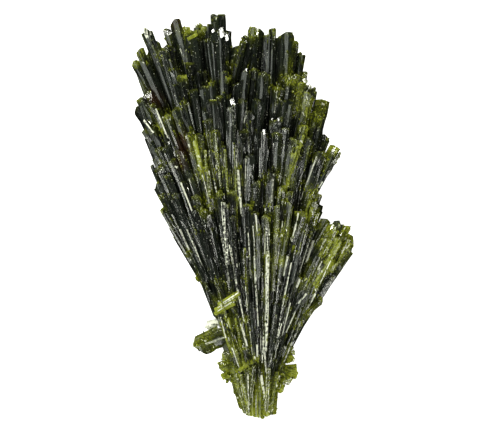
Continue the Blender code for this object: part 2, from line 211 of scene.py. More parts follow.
MIDDLE_FRONT = (
    (-7.6, 10.0, -10, 32, 1.6, 18.0),
    (-6.3, 13.2, -9, 36, 1.4, 18.0),
    (-4.2, 14.0, -5, 36, 1.4, 18.4),
    (-7.9, 1.6, -13, 26, 1.5, 16.6),
    (-6.5, 0.8, -12, 26, 1.7, 16.8),
    (-4.7, 5.2, -7, 30, 1.4, 19.0),
    (-3.7, 3.0, -6, 28, 1.3, 19.2),
    (-2.2, 5.2, -4, 30, 1.7, 18.2),
    (-2.8, -1.2, -5, 24, 1.6, 17.0),
    (-1.0, 10.0, -2, 34, 1.4, 18.6),
    (0.8, 2.6, -1, 28, 1.5, 18.8),
    (0.2, 17.0, 3, 38, 1.7, 17.8),
    (1.7, 12.2, 3, 34, 1.5, 19.0),
    (2.6, 7.2, 2, 30, 1.5, 19.4),
    (5.4, 9.2, 2, 32, 1.6, 19.0),
    (2.4, 1.0, 1, 26, 1.3, 19.2),
    (4.3, 0.4, 1, 26, 1.4, 18.6),
    (6.6, 2.2, 5, 28, 1.5, 17.6),
    (0.4, -5.8, -1, 22, 1.5, 16.6),
    (2.6, -7.8, -2, 20, 1.3, 16.2),
    (4.6, -7.8, 0, 22, 1.4, 16.0),
    (6.4, -4.8, 5, 24, 1.3, 16.0),
    (7.9, -2.8, 7, 24, 1.6, 15.6),
    (8.8, -7.6, 14, 18, 1.3, 13.6),
)
RIGHT_LOBE_BACK = (
    (-1.0, 34.2, 13, 13, 2.1, 9.0),
    (0.1, 35.0, 10, 30, 1.4, 8.0),
    (0.8, 36.4, 8, 34, 1.6, 7.4),
    (2.1, 38.0, 3, 34, 2.0, 8.6),
    (3.4, 37.8, 2, 34, 1.5, 7.0),
    (4.8, 36.6, 2, 34, 1.7, 6.6),
    (5.9, 37.8, 1, 34, 1.4, 7.6),
    (6.9, 36.0, 2, 34, 1.3, 6.4),
    (8.8, 36.9, 2, 34, 2.4, 9.6),
    (10.4, 35.3, 6, 34, 1.5, 8.0),
    (11.2, 33.2, 7, 34, 1.4, 6.8),
    (11.8, 32.5, 8, 34, 1.4, 8.2),
    (12.2, 29.2, 9, 34, 1.4, 8.0),
    (13.0, 26.4, 10, 34, 1.4, 7.4),
    (14.0, 26.0, 11, 34, 1.4, 9.2),
    (15.9, 23.6, 11, 34, 2.5, 7.6),
    (14.8, 21.0, 10, 30, 2.2, 9.8),
    (16.1, 16.6, 21, 30, 1.7, 7.0),
    (18.8, 14.0, 30, 27, 2.6, 9.0),
    (16.6, 16.4, 22, 27, 2.0, 8.4),
)
RIGHT_LOBE_FRONT = (
    (15.6, 13.2, 17, 34, 2.5, 11.5),
    (13.2, 15.8, 18, 34, 2.1, 13.0),
    (10.0, 28.4, 9, 34, 2.3, 12.2),
    (11.6, 26.8, 11, 34, 2.0, 11.8),
    (13.0, 24.8, 11, 34, 2.0, 11.4),
    (7.2, 25.6, 7, 34, 1.7, 13.6),
    (4.3, 28.7, 5, 34, 2.1, 13.4),
    (0.6, 29.0, 7, 34, 1.7, 12.8),
    (2.3, 29.6, 6, 34, 1.6, 11.8),
    (-0.8, 26.6, 5, 34, 1.7, 11.8),
    (7.0, 19.6, 3, 34, 1.4, 17.2),
    (5.9, 19.0, 3, 34, 1.3, 16.8),
    (8.4, 17.6, 7, 34, 1.4, 16.4),
    (10.0, 15.6, 9, 34, 1.4, 16.0),
    (4.1, 16.8, 1, 34, 1.5, 18.6),
    (6.7, 16.8, 2, 34, 1.9, 17.8),
    (0.1, 23.2, 4, 34, 1.6, 16.6),
    (1.9, 20.8, 5, 34, 1.9, 17.2),
    (3.2, 23.2, 5, 34, 2.1, 15.8),
    (9.0, 23.2, 8, 34, 2.3, 14.0),
    (12.0, 18.2, 13, 34, 1.9, 14.0),
    (10.6, 12.8, 12, 34, 1.8, 15.8),
    (7.8, 6.2, 7, 32, 1.7, 17.6),
    (9.0, 5.2, 11, 30, 1.9, 16.2),
    (13.4, -1.0, 22, 24, 2.8, 12.6),
    (11.6, 1.2, 17, 26, 2.4, 14.6),
    (14.4, 3.2, 20, 26, 2.4, 11.4),
)
LOWER_RIGHT_SPRAY = (
    (21.9, -3.8, 33, 26, 2.4, 7.8),
    (20.8, -1.6, 32, 26, 2.0, 8.6),
    (19.4, -0.8, 31, 27, 2.2, 9.6),
    (17.9, -1.6, 30, 26, 2.0, 10.8),
    (16.7, -0.4, 27, 27, 2.0, 8.4),
    (15.3, 2.0, 24, 28, 2.0, 9.0),
    (14.9, 4.8, 21, 30, 1.7, 7.4),
    (20.8, -6.2, 34, 24, 2.3, 7.6),
    (19.4, -8.8, 34, 21, 2.3, 7.0),
    (17.8, -11.2, 34, 19, 2.3, 6.6),
    (16.2, -13.4, 35, 16, 2.2, 6.4),
    (18.8, -4.0, 31, 24, 2.0, 11.4),
    (16.9, -4.4, 28, 24, 2.0, 12.4),
    (17.4, -8.0, 32, 21, 2.1, 10.8),
    (15.8, -16.4, 50, 12, 1.9, 4.8),
    (13.2, -13.4, 36, 12, 1.7, 10.0),
    (11.3, -18.4, 35, 11, 1.7, 7.0),
)
STEM_FRONT = (
    (-4.4, -18.6, -18, 15, 1.7, 10.4),
    (-3.0, -19.4, -15, 13, 1.5, 11.2),
    (-1.5, -17.8, -11, 14, 1.6, 11.8),
    (0.1, -19.2, -8, 12, 1.6, 11.8),
    (1.8, -18.0, -5, 15, 1.5, 11.6),
    (6.4, -17.0, 5, 20, 1.5, 11.8),
    (8.0, -17.2, 9, 18, 1.5, 11.0),
    (9.3, -17.8, 14, 16, 1.4, 10.0),
)
ROWS = (
    *LEFT_LOBE_BACK,
    *LEFT_LOBE_FRONT,
    *LEFT_FLANK,
    *MIDDLE_FRONT,
    *RIGHT_LOBE_BACK,
    *RIGHT_LOBE_FRONT,
    *LOWER_RIGHT_SPRAY,
    *STEM_FRONT,
)
# Short crystals that cross the others: tip x, y, z, foot x, y, z, width, how green, how pale.
CROSSING = (
    (-9.8, -26.5, 4.2, -0.6, -22.9, 5.0, 4.9, 0.1, 0.0),
    (-8.3, -24.2, 5.2, 0.0, -21.4, 5.6, 2.2, 0.3, 0.0),
    (-7.6, -22.0, 4.8, -3.6, -20.8, 5.4, 2.2, 0.0, 0.9),
    (-4.2, -28.2, 5.6, 0.0, -27.0, 6.0, 2.6, 0.5, 0.0),
    (-4.7, -30.6, 4.8, 0.0, -28.4, 5.2, 3.2, 0.5, 0.0),
    (-4.2, -32.8, 4.2, 1.0, -30.6, 4.6, 2.8, 0.5, 0.0),
    (-1.7, -34.4, 4.4, 2.4, -37.0, 4.6, 2.8, 0.5, 0.0),
    (9.5, -25.8, 4.8, 5.6, -27.4, 5.2, 2.6, 0.6, 0.0),
    (10.2, -28.0, 4.2, 5.8, -29.0, 4.8, 3.0, 0.6, 0.0),
    (11.0, -31.2, 4.6, 5.6, -30.8, 5.0, 3.4, 0.6, 0.0),
    (9.8, -33.0, 3.8, 5.6, -32.2, 4.4, 2.6, 0.6, 0.0),
    (8.2, -34.8, 4.2, 5.0, -33.4, 4.6, 2.6, 0.6, 0.0),
    (-9.4, -12.7, 5.6, -7.0, -10.9, 5.4, 1.5, 0.6, 0.0),
    (1.2, -39.4, 5.2, -4.0, -24.0, 5.0, 2.8, 0.3, 0.0),
    (0.4, -38.8, 4.0, -3.4, -28.0, 4.2, 2.6, 0.3, 0.0),
)
# The same for whitish pointed ends. The two at the right lobe's side are painted white as glints, a
# painted highlight.
POINTED = (
    (-19.3, 37.9, 8.6, -18.8, 35.4, 7.9, 2.1, 0.0, 0.6),
    (12.9, 27.4, 9.2, 11.7, 25.8, 8.8, 0.9, 0.0, 1.0),
    (13.7, 26.3, 9.2, 12.7, 24.8, 8.8, 0.8, 0.0, 1.0),
)
# Crystals that lie along the others: tip x and y, foot x and y, width, how green, how pale. Where
# the green is below 0, the crystal is darker than what it lies on.
PLATES = (
    (-16.8, 2.6, -8.0, -14.6, 1.6, 0.0, 0.0),
    (-13.8, 4.0, -7.0, -12.6, 2.8, -0.2, 0.0),
    (-9.6, 1.4, -5.2, -12.2, 2.4, -0.2, 0.0),
    (-9.4, -9.0, -3.0, -22.4, 2.4, -0.1, 0.0),
    (-3.8, 3.0, -3.0, -9.4, 1.3, 0.0, 0.5),
    (-2.0, 0.4, -1.2, -15.4, 2.0, -0.2, 0.0),
    (3.0, 1.2, 3.2, -11.6, 1.5, 0.0, 0.0),
    (4.8, 0.0, 4.7, -16.0, 1.6, 0.4, 0.1),
    (4.7, -14.0, 4.4, -29.0, 1.6, 0.3, 0.2),
    (6.8, 2.4, 5.8, -14.6, 1.6, 0.3, 0.0),
    (9.4, 3.0, 7.0, -13.0, 1.8, 0.2, 0.0),
    (12.4, -1.0, 9.8, -13.0, 2.3, -0.2, 0.0),
    (0.2, 2.0, 0.6, -8.0, 1.6, -0.3, 0.0),
    (1.8, -16.6, 2.3, -29.0, 1.0, -0.3, 0.0),
    (17.8, 12.4, 14.6, 5.4, 1.6, -0.2, 0.0),
    (-0.6, -18.0, 1.2, -31.0, 1.8, 0.0, 0.0),
    (6.6, -17.0, 5.4, -30.0, 1.7, 0.0, 0.0),
    (9.6, -16.0, 7.0, -24.6, 1.8, 0.1, 0.0),
    # Green crystals where the two lobes meet.
    (-1.1, 33.4, -3.3, 26.2, 1.8, 0.2, 0.0),
    (0.2, 35.0, -1.8, 27.4, 2.2, 0.05, 0.0),
    (1.8, 36.2, 0.2, 28.8, 2.0, 0.0, 0.0),
    # The lower right spray.
    (18.6, -2.2, 15.4, -8.0, 1.7, 0.5, 0.1),
    (20.0, -3.2, 16.4, -9.4, 1.8, 0.6, 0.1),
    (21.2, -5.0, 17.4, -11.0, 1.7, 0.3, 0.2),
    (17.6, -8.4, 14.2, -13.6, 1.6, 0.6, 0.1),
    (16.0, -16.2, 11.8, -20.2, 1.9, 0.1, 0.0),
    # Thin green crystals between the dark ones.
    (12.6, 18.0, 9.6, 8.6, 0.7, 0.8, 0.0),
    (10.8, 14.0, 8.4, 5.0, 0.7, 0.8, 0.0),
    (13.6, 16.6, 11.0, 4.0, 0.5, 0.6, 0.0),
    (18.8, 14.4, 15.0, 6.4, 0.8, 0.6, 0.0),
    (17.2, 14.8, 13.8, 6.6, 0.6, 0.6, 0.0),
    (14.4, 4.6, 12.6, -2.0, 0.9, 0.8, 0.0),
    (-9.8, 17.0, -7.6, 7.0, 1.1, 0.7, 0.2),
    (-7.6, 15.4, -6.6, 4.0, 0.8, 0.6, 0.3),
    (-5.4, 16.6, -4.4, 6.0, 0.8, 0.6, 0.3),
    (-3.6, 15.4, -3.0, 5.0, 0.7, 0.5, 0.3),
    (-1.6, 13.0, -1.0, -3.0, 0.5, 0.8, 0.2),
    (0.4, -6.0, 0.9, -18.0, 0.6, 0.6, 0.0),
    (5.0, -3.0, 4.6, -12.0, 0.7, 0.6, 0.2),
    (8.4, -1.0, 7.2, -10.0, 0.8, 0.6, 0.0),
    (-4.6, -20.4, -2.0, -28.0, 0.7, 0.9, 0.0),
    (-3.0, -20.0, -0.6, -30.0, 0.9, 0.8, 0.3),
    (-1.4, -20.0, 0.6, -32.0, 0.9, 0.7, 0.3),
    (0.2, -20.0, 1.6, -33.0, 0.8, 0.6, 0.3),
)
# The same for those in front of all others.
FRONT_PLATES = (
    # The striated plate that crosses the left side of the narrow part.
    (-0.7, -14.9, -4.8, -17.4, 1.3, 1.2, 0.0),
    (-0.9, -15.8, -5.6, -18.5, 1.3, 1.2, 0.0),
    (-1.6, -17.0, -5.6, -19.3, 1.2, 1.2, 0.0),
    # The crystals that cross under the stem's left edge.
    (-9.8, -24.8, -5.0, -22.4, 1.7, 0.4, 0.0),
    (-9.0, -27.2, -5.0, -25.6, 1.8, 0.2, 0.1),
    # The broken crystals in the front of the stem.
    (2.2, -29.6, 1.2, -39.8, 1.3, 0.3, 0.3),
    (0.8, -30.4, 1.0, -39.8, 1.2, 0.4, 0.3),
    (-0.4, -31.4, 1.4, -39.8, 1.2, 0.4, 0.2),
    (-1.4, -31.6, 0.4, -39.4, 1.0, 0.5, 0.3),
    (5.2, -30.0, 4.6, -40.0, 1.3, 0.3, 0.3),
    (6.8, -31.0, 5.6, -39.6, 1.3, 0.3, 0.2),
    # The slanting green rim of their broken ends.
    (3.5, -27.7, -0.8, -30.7, 1.4, 0.7, 0.0),
    # Bright green ends in the left lobe.
    (-9.0, 36.3, -11.0, 35.2, 0.9, 1.2, 0.0),
    (-8.9, 38.6, -7.9, 37.2, 0.8, 1.3, 0.0),
)
# Lumps of short green crystals beside the stem: x, y, z, radius, count.
LUMPS = (
    (9.0, -27.6, 4.6, 2.0, 40),
    (8.0, -31.4, 4.4, 2.2, 40),
    (9.6, -31.4, 4.2, 1.6, 24),
    (-3.0, -29.2, 4.6, 1.9, 34),
    (-2.6, -32.0, 4.2, 1.9, 30),
    (10.2, -31.6, 4.2, 1.2, 12),
)
# The fan's outline: lean in degrees from +Y towards +X, and how far it reaches from the root.
REACH = (
    (-25, 40),
    (-24, 50),
    (-22.5, 56),
    (-21, 72),
    (-18, 77),
    (-14, 77),
    (-10, 77),
    (-6, 77),
    (-4.6, 72),
    (-3, 74),
    (0, 76),
    (4, 74),
    (7, 71),
    (10, 65),
    (13, 56),
    (15, 46),
    (18, 39),
    (21, 38),
    (26, 36),
    (28, 27),
    (30, 18),
)
# Wide crystals behind the others: the leans they spread over, their count, and how far they stay
# inside REACH, how wide they are, how high their feet are and how high their tips.
LAYER_START = 6.0  # how far from the root their feet are
LAYERS = (
    dict(leans=(-22.4, 22), count=14, inset=(1.5, 3.5), width=(3.2, 3.9), foot=1.6, tip=(1, 1.5)),
    dict(leans=(-21.5, 16), count=10, inset=(3, 8), width=(3.2, 4.0), foot=3.1, tip=(4, 5.2)),
    dict(leans=(-20, 13), count=8, inset=(10, 15), width=(3.4, 4.2), foot=4.6, tip=(8, 9.4)),
)
# Thin crystals painted whitish where streaks of light run along the fan, a painted highlight: x and
# y of the tip and of the foot, width, and how light the painted highlight is, up to 1.
SHEEN_LATHS = (
    (-19.8, 19.4, -17.8, 16.8, 0.5, 0.9),
    (-17.2, 21.4, -14.8, 15.6, 0.35, 0.8),
    (-12.2, 6.8, -10.0, 1.2, 0.5, 0.9),
    (-11.2, -6.8, -5.4, -17.0, 0.8, 0.3),
    (-4.2, 29.4, -2.2, 5.4, 0.5, 0.2),
    (-2.0, 22.0, -1.0, 5.0, 0.7, 0.4),
    (-1.2, 11.4, -0.2, 0.6, 0.6, 0.8),
    (2.2, -7.6, 3.0, -21.6, 0.5, 0.7),
    (2.5, 1.2, 2.8, -2.8, 0.35, 0.9),
    (4.4, 0.0, 4.8, -6.6, 0.8, 0.35),
    (4.8, -6.6, 4.7, -16.6, 1.0, 0.75),
    (4.7, -16.0, 4.6, -26.6, 0.9, 0.7),
    (8.8, -7.6, 8.0, -11.6, 0.6, 1.0),
    (10.4, -1.4, 9.6, -4.8, 0.5, 1.0),
    (14.0, -4.6, 12.6, -9.0, 0.7, 1.0),
    (11.8, -11.0, 10.6, -14.0, 0.6, 1.0),
    (12.6, -15.2, 11.0, -17.2, 0.5, 1.0),
    (14.4, -15.2, 13.4, -17.2, 0.5, 0.9),
    (-0.4, -21.2, 0.8, -25.6, 0.6, 0.9),
    (2.8, -25.4, 2.8, -27.8, 0.5, 1.0),
    (4.0, -24.6, 4.6, -31.0, 0.5, 0.8),
    (3.6, -31.6, 4.4, -36.4, 0.7, 1.0),
    (-7.6, -25.6, -3.0, -24.0, 0.45, 0.7),
    (-2.2, -26.0, -0.8, -30.0, 0.4, 0.7),
    (14.6, 12.0, 11.4, 3.4, 0.35, 0.8),
    (11.4, 3.4, 10.2, -3.0, 0.35, 0.8),
    (19.0, 12.0, 15.0, 5.8, 0.35, 0.8),
    (1.8, 27.0, 0.2, 18.4, 0.25, 0.5),
    (6.8, 25.0, 6.2, 20.4, 0.25, 0.5),
    (0.6, 11.4, 0.4, 3.4, 0.4, 0.6),
    (6.0, 10.0, 5.6, 2.0, 0.4, 0.5),
    (-8.4, 10.0, -6.6, 2.6, 0.4, 0.6),
    (-6.6, 13.0, -5.0, 4.0, 0.4, 0.6),
    (-4.2, -4.0, -2.6, -13.0, 0.5, 0.5),
    (-2.4, -6.0, -1.2, -14.0, 0.35, 0.6),
    (1.0, -3.0, 1.6, -12.0, 0.35, 0.6),
    (7.0, -12.0, 6.2, -20.0, 0.4, 0.5),
    (8.4, -14.0, 6.8, -24.0, 0.35, 0.6),
    (9.4, -17.0, 7.8, -23.6, 0.3, 0.8),
    (10.4, -18.8, 8.6, -23.0, 0.3, 0.8),
    (-4.4, -19.8, -3.4, -24.0, 0.35, 0.7),
    (16.6, -3.8, 15.4, -6.6, 0.9, 0.5),
    (13.4, -5.4, 12.2, -9.4, 0.6, 0.5),
    (18.4, -2.8, 17.6, -4.6, 0.7, 0.5),
    (19.6, -6.0, 18.2, -8.8, 0.6, 0.55),
    (21.0, -4.4, 20.2, -6.4, 0.7, 0.5),
    (15.6, -8.6, 14.8, -10.4, 0.5, 0.8),
    (-1.2, -15.1, -4.4, -17.3, 0.35, 1.0),
    (-1.6, -15.8, -5.0, -18.0, 0.3, 0.8),
    (-2.2, -16.8, -5.0, -18.7, 0.3, 1.0),
    (-0.9, -14.9, -2.2, -15.7, 0.3, 1.0),
    (1.0, -31.4, 1.2, -38.6, 0.3, 0.8),
    (-0.6, -33.0, 0.4, -38.0, 0.25, 0.7),
    (5.2, -33.0, 4.9, -38.6, 0.25, 0.7),
    (2.6, -35.8, 2.6, -39.8, 0.3, 0.8),
)
# Small end faces that flash white: x, y, lean, width.
GLINTS = (
    (-5.9, 36.8, -4, 1.0),
    (-4.2, 36.4, -3, 1.6),
    (-3.2, 35.4, -2, 1.1),
    (-2.0, 22.4, -1, 1.6),
    (-1.7, 20.6, -1, 0.7),
    (4.1, 16.6, 2, 1.0),
    (10.0, 15.9, 8, 0.7),
    (0.6, 29.0, 6, 0.9),
    (5.8, 19.2, 3, 0.6),
    (7.0, 19.2, 5, 0.6),
    (12.2, 27.2, 9, 0.8),
    (13.2, 26.0, 10, 0.7),
    (15.0, 14.4, 18, 0.7),
    (-18.6, 19.0, -26, 0.8),
    (1.4, 37.6, 4, 0.7),
    (2.8, 36.8, 4, 0.9),
    (18.0, 13.4, 28, 0.8),
    (19.2, 13.2, 28, 0.6),
    (17.6, -2.0, 30, 0.8),
    (19.6, -3.2, 30, 0.7),
    (16.4, -4.6, 28, 0.6),
    (8.6, -2.6, 8, 0.5),
    (-8.4, 24.0, -8, 0.4),
    (6.0, 14.2, 4, 0.5),
    (4.9, 13.0, 3, 0.5),
    (-14.6, 14.6, -20, 0.5),
    (-10.8, 5.6, -16, 0.5),
)
# Rust-brown stains: x, y, radius, strength from 0 to 1.
RUST_ZONES = (
    (-17.4, 23.6, 1.2, 0.8), (-12.0, 15.6, 1.0, 0.7), (-11.6, 13.4, 1.2, 0.8),
    (-12.2, 10.8, 1.1, 0.6), (-13.6, 39.4, 1.3, 0.5),
)
# Where green shows: x, y, radius, and how strongly, where 1 is a full crust.
GREEN_ZONES = (
    # Left lobe.
    (-21.3, 32, 2.4, 0.75), (-20.4, 35, 1.6, 0.5), (-19.4, 37.6, 1, 0.3), (-21.8, 23, 1.5, 0.55),
    (-20.2, 26.5, 1.5, 0.4), (-16.2, 32.6, 1.8, 0.5), (-15.4, 35.6, 1.4, 0.5),
    (-13.6, 38.6, 1.2, 0.2), (-11.2, 38, 2, 0.9), (-9, 37.2, 1.6, 0.8), (-7.8, 38.8, 1, 0.6),
    (-11.6, 32.6, 1.4, 0.4), (-14, 30, 1.6, 0.35), (-12, 27.8, 0.9, 0.9), (-6.4, 26.4, 1, 1.1),
    (-4.4, 24, 0.9, 0.5), (-5.4, 40, 1, 0.35), (-2.8, 27.6, 1, 0.8), (-2, 30.2, 1.1, 0.9),
    (-1, 33.2, 1.2, 0.8), (-0.6, 35, 0.9, 0.6), (-8.4, 38.4, 1, 1.3),
    # Left flank.
    (-15, 20.2, 1.3, 1), (-12, 22.4, 1.3, 0.6), (-13.6, 18.6, 2, 0.5), (-17, 17.4, 1.3, 1),
    (-18.8, 21.4, 1.6, 0.4), (-15.4, 14, 1.4, 0.2), (-16, 11, 0.9, 0.6), (-17.6, 7, 0.9, 0.3),
    (-12.6, 10.4, 1.6, 0.25), (-17, 3.8, 1.2, 0.6), (-16.2, 1.6, 1.2, 0.6),
    (-13.8, -1.6, 1.3, 0.45), (-11, -7, 1.2, 0.5), (-9.2, -2.8, 1.2, 0.4), (-9, -12.3, 1.3, 0.9),
    (-7.6, -14, 1, 0.6),
    # Left interior.
    (-10.2, 15.8, 1.5, 0.85), (-9.2, 13, 1.8, 1), (-8, 9.6, 1.4, 1.2), (-9.6, 7.4, 1.3, 0.65),
    (-6.6, 15.4, 1.6, 0.55), (-5.2, 12.4, 1.8, 0.55), (-6.2, 8.8, 2, 0.65), (-4, 9.4, 1.5, 0.65),
    (-6.6, 3.2, 2.2, 0.7), (-7.6, 1.2, 1.3, 0.7), (-4.2, 5.2, 1.6, 0.5), (-1.4, 13, 0.8, 0.6),
    (-1, 9.6, 0.9, 0.75), (-2.2, 7.2, 1.5, 0.8), (0, 7.2, 1, 0.7), (-1, 4, 0.9, 0.6),
    (-1, 0.8, 0.9, 0.55), (1, 18, 0.8, 0.6),
    # Right lobe.
    (2, 36.8, 2.2, 0.6), (4.6, 36.2, 1.2, 0.45), (6.2, 36.6, 1.3, 0.65), (10.6, 34.4, 1.2, 0.45),
    (1.6, 29.6, 1.2, 0.45), (9.6, 31.2, 1.3, 0.5), (9, 27.6, 1.6, 1.1), (6.2, 25.9, 1.3, 0.9),
    (7.4, 23.2, 1, 0.55), (11.2, 27, 1.8, 0.8), (11, 24.6, 1.8, 0.65), (12.6, 22, 2.4, 0.8),
    (15.6, 23.4, 2, 0.8), (14.6, 20, 1.9, 0.9), (12.4, 17.4, 1.3, 1), (10.2, 20.4, 1.2, 0.45),
    (12, 30.6, 1.2, 0.5),
    # Right flank.
    (11.2, 14.8, 1.3, 0.6), (10.2, 12.6, 1.1, 0.9), (9.4, 9.6, 1.1, 0.85), (9, 6.6, 1.4, 1.2),
    (7, 8.2, 1.1, 0.65), (4.2, 7.8, 1.2, 0.55), (13.6, 12.4, 1.3, 0.55), (18.2, 14, 1.8, 0.9),
    (16.6, 11.4, 1.4, 0.6), (19, 11.4, 1.2, 0.6), (16.2, 9, 1.2, 0.55), (12.4, 6, 1.4, 0.6),
    (14, 4.2, 1.6, 1.2), (13.6, 1.2, 1.8, 1), (14.6, -1, 1.3, 1),
    # Middle.
    (5, 2.6, 1.3, 0.65), (6.6, 4.2, 1, 0.7), (8.2, 3, 1, 0.6), (1.7, 2.2, 0.8, 0.7),
    (4.8, 0.4, 1.1, 0.65), (10.2, 1, 1.2, 0.6), (11.2, -1, 1.2, 0.7), (12.6, -3, 1.3, 0.7),
    (3, -3.2, 1.2, 0.6), (5.2, -3, 1, 0.6), (8, -3.2, 1.9, 1), (10.4, -6.4, 1.4, 0.5),
    (5.6, -9.4, 1.4, 0.6), (4.8, -7.8, 1.3, 0.85), (7.6, -8.6, 1, 1), (2.4, -7, 0.9, 0.45),
    (2.2, -11, 1, 0.7), (4.6, -11.6, 1, 0.6), (0.5, -7.6, 0.8, 0.6), (0.5, -12, 0.9, 0.6),
    (8.4, -16.2, 0.9, 0.85), (4.2, -16, 1, 0.6), (4.3, -20, 1, 0.6), (4.6, -24, 1, 0.5),
    # Lower right spray.
    (18, -3, 2.4, 1.2), (20.8, -3, 2.2, 0.95), (17, -6.2, 2, 1.1), (19.2, -7, 2.6, 0.95),
    (15.4, -5, 1.3, 0.7), (21, -5.6, 2, 0.9), (15, -11.4, 1.5, 0.95), (12.2, -13, 1.6, 1.2),
    (14.2, -14, 1.4, 1), (13.4, -9.8, 1.4, 0.7), (17.4, -9.4, 2.4, 0.9), (16, -17, 1.2, 0.6),
    (13, -18.6, 1.4, 1), (11, -20.6, 1.3, 1), (10.2, -22.4, 1, 0.8),
    # Stem.
    (-4.4, -13, 1.4, 0.45), (-4.6, -17.6, 1.4, 1.3), (-2, -15.8, 1.1, 1.3), (-4, -21.4, 1.5, 1.1),
    (-3.2, -19.6, 1, 0.6), (-1, -21.2, 1.3, 0.9), (0.6, -20.4, 1, 0.8), (-7.4, -24, 1.5, 0.75),
    (-9.6, -25.6, 1.5, 0.85), (-6, -26.2, 1.4, 0.6), (-3, -24.2, 1.3, 0.8), (-1, -25.6, 1.5, 0.9),
    (0.6, -23.2, 1.2, 0.9), (1, -26.2, 1.2, 0.9), (-4.4, -29.4, 1.5, 0.8), (-3.6, -32, 1.5, 1),
    (-1.6, -31, 1.2, 1.1), (2.4, -28.4, 1, 1.2), (0.2, -29.6, 1.1, 1), (-1, -34.2, 1.2, 1.2),
    (0.2, -37, 1.6, 0.9), (2.6, -36.4, 1.5, 0.8), (3, -33.8, 2.4, 0.7), (4.2, -31.6, 1.2, 0.7),
    (5.4, -35.2, 2.4, 0.8), (6.2, -38, 2.6, 0.8), (3.2, -39.6, 3, 0.9), (8.9, -26.8, 1.2, 1),
    (9.8, -29, 1.3, 1.1), (8, -29.4, 1.1, 0.8), (7, -32.4, 1.3, 1.1), (10.4, -31.8, 1.5, 1.1),
    (7.6, -34.2, 1.3, 1.1), (6.2, -28, 1, 0.5),
)


def heading(lean, rise=0.0):
    """The direction of a crystal that leans from +Y and rises from the floor, both in radians."""
    flat = Vector((math.sin(lean), math.cos(lean), 0.0))
    return flat * math.cos(rise) + Vector((0.0, 0.0, math.sin(rise)))


def sideways(axis):
    """The level direction across a crystal."""
    return axis.cross(UP).normalized()


def reach_at(lean):
    """How far the fan reaches along a lean, read between the points of REACH."""
    for (low, near), (high, far) in zip(REACH, REACH[1:]):
        if lean <= high:
            return near + (far - near) * (lean - low) / (high - low)
    return REACH[-1][1]


def strength_at(zones, point):
    """How strong a colour is at a point, from the zones around it."""
    most = 0.0
    for x, y, radius, strength in zones:
        away = ((point.x - x) ** 2 + (point.y - y) ** 2) / radius**2
        if away < ZONE_END:
            most = max(most, strength * math.exp(-away))
    return most


class Growth:
    """One mesh that crystals are added to, with what their material reads at each point."""

    READ = ("tip", "green", "tone", "pale_and_sheen", "rim", "rust")

    def __init__(self, name):
        self.name = name
        self.mesh = bmesh.new()
        for layer in self.READ:
            self.mesh.verts.layers.float.new(layer)
        self.mesh.loops.layers.uv.new("grain")

    def add(self, grown):
        """Takes in a finished crystal, a small bmesh with the same layers."""
        data = bpy.data.meshes.new("crystal")
        grown.to_mesh(data)
        grown.free()
        self.mesh.from_mesh(data)
        bpy.data.meshes.remove(data)

    def finish(self, material):
        """Keeps the crystals inside the solid's box and makes them a piece, in metres."""
        low, high = (Vector(corner) / MM for corner in CAD_BOX)
        for v in self.mesh.verts:
            for axis in range(3):
                v.co[axis] = min(max(v.co[axis], low[axis] + SKIN), high[axis] - SKIN)
        bmesh.ops.scale(self.mesh, vec=(MM, MM, MM), verts=self.mesh.verts)
        data = bpy.data.meshes.new(self.name)
        self.mesh.to_mesh(data)
        self.mesh.free()
        data.materials.append(material)
        piece = bpy.data.objects.new(self.name, data)
        bpy.context.scene.collection.objects.link(piece)
        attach(piece, "root")
        return piece


def cut(mesh, point, normal):
    """Removes what lies beyond a plane and closes the cut with one face."""
    whole = mesh.verts[:] + mesh.edges[:] + mesh.faces[:]
    found = bmesh.ops.bisect_plane(
        mesh, geom=whole, plane_co=point, plane_no=normal, clear_outer=True, dist=1e-6
    )
    rim = [e for e in found["geom_cut"] if isinstance(e, bmesh.types.BMEdge)]
    bmesh.ops.holes_fill(mesh, edges=rim, sides=0)


def hexagon(turn):
    """How far a hexagon's side is from its middle at a turn, with its corners at 1."""
    corner = math.pi / 3
    return math.cos(corner / 2) / math.cos(turn % corner - corner / 2)


def column_at(place, columns):
    """Which of a shaft's columns of points a place belongs to, below 0 on the second half."""
    return round(math.atan2(place.y, place.x) / math.tau * columns)


def lay_grain(mesh, columns, seam, perimeter):
    """Sets the sides' UV map to the millimetres round the shaft and along it."""
    grain = mesh.loops.layers.uv["grain"]
    for face in mesh.faces:
        if len(face.verts) > 4:
            continue
        spots = [column_at(loop.vert.co, columns) for loop in face.loops]
        wraps = max(spots) - min(spots) > columns / 2
        for loop, spot in zip(face.loops, spots):
            spot += columns if wraps and spot < 0 else 0
            loop[grain].uv = (seam + spot * perimeter / columns, loop.vert.co.z)


